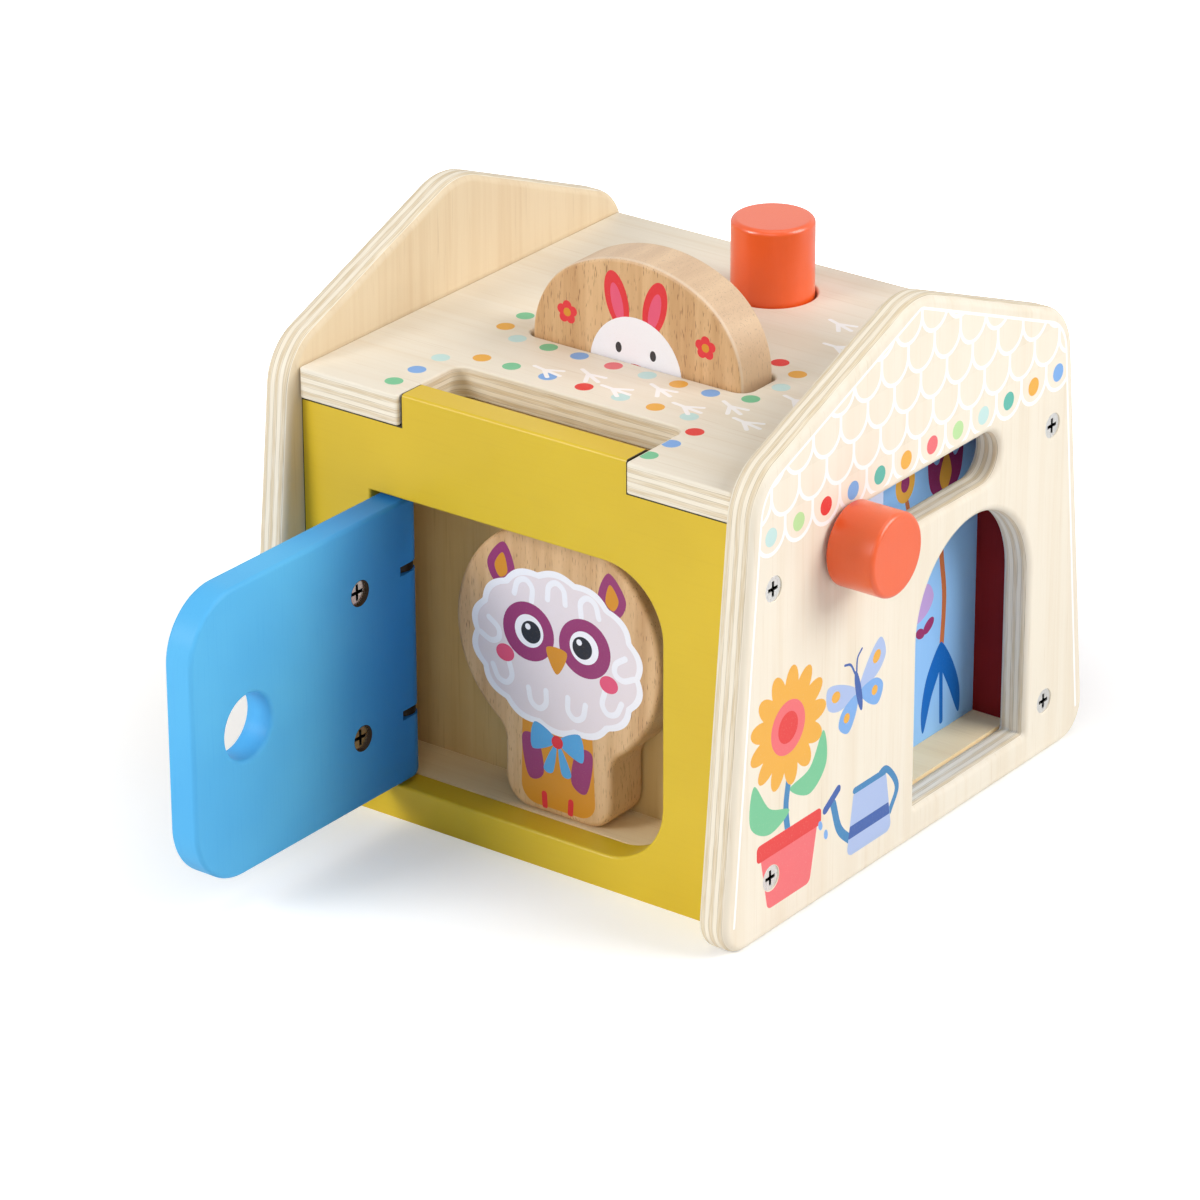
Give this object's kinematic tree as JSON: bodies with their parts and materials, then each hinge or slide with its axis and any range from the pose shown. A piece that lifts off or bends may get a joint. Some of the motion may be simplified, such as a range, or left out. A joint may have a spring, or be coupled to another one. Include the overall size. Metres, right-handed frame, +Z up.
{
  "type": "wooden pop-up toy house",
  "caption": "Plywood toy house with a hinged door, a push button that lifts a figure through the roof, a sliding picture behind a window and a figure to post.",
  "frame": {"origin": "middle of the underside of the housing's base panel", "axes": "+X along the front from left to right, +Y from the front panel to the back panel, +Z up"},
  "size_m": [0.1735, 0.239, 0.1561],
  "materials": {
    "plywood": "smooth",
    "yellow_ply": "satin",
    "red_ply": "satin",
    "blue_ply": "satin",
    "picture_board": "satin",
    "beech": "smooth",
    "orange_wood": "satin",
    "zinc_steel": "satin",
    "brass_steel": "satin"
  },
  "bodies": {
    "housing": {"left_side_panel": "plywood", "right_side_panel": "plywood", "front_panel": "yellow_ply", "back_panel": "red_ply", "top_panel": "plywood", "base_panel": "plywood", "partition_panel": "plywood", "picture_board": "picture_board", "right_side_screws": "zinc_steel", "left_side_screws": "zinc_steel", "base_screws": "zinc_steel", "roof_dowels": "beech", "hinge_rod": "zinc_steel", "figure_guide_left": "beech", "figure_guide_right": "beech", "rocker_post_left": "beech", "rocker_post_right": "beech", "rocker_pin": "zinc_steel"},
    "door": {"door": "blue_ply", "hinge_eye_bolts": "zinc_steel", "barrel_nuts": "brass_steel"},
    "figure": {"pop_up_figure": "beech"},
    "button": {"push_button": "orange_wood", "button_washer": "beech"},
    "rocker": {"rocker_lever": "beech"},
    "slider": {"sliding_picture": "picture_board", "knob_spacer": "beech", "slide_knob": "orange_wood", "knob_screw": "zinc_steel"},
    "posted": {"posting_figure": "beech"}
  },
  "joints": [
    {"name": "door_hinge", "type": "hinge", "parent": "housing", "child": "door", "pos_m": [-0.0423, -0.065, 0.05225], "axis": [0, 0, 1], "range_deg": [-4, 90.6]},
    {"name": "figure_rise", "type": "slide", "parent": "housing", "child": "figure", "axis": [0, 0, 1], "range_m": [0, 0.019]},
    {"name": "button_press", "type": "slide", "parent": "housing", "child": "button", "axis": [0, 0, 1], "range_m": [-0.019, 0]},
    {"name": "rocker_turn", "type": "hinge", "parent": "housing", "child": "rocker", "pos_m": [0, 0.0189, 0.0906], "axis": [-1, 0, 0], "range_deg": [0, 40.2]},
    {"name": "knob_slide", "type": "slide", "parent": "housing", "child": "slider", "axis": [0, 1, 0], "range_m": [0, 0.06]},
    {"name": "posting_figure_out", "type": "slide", "parent": "housing", "child": "posted", "axis": [0, 1, 0], "range_m": [-0.08, 0]}
  ],
  "couplings": [
    {"joint": "button_press", "follows": "figure_rise", "ratio": -1},
    {"joint": "rocker_turn", "follows": "figure_rise", "rad_per_m": 36.85}
  ]
}
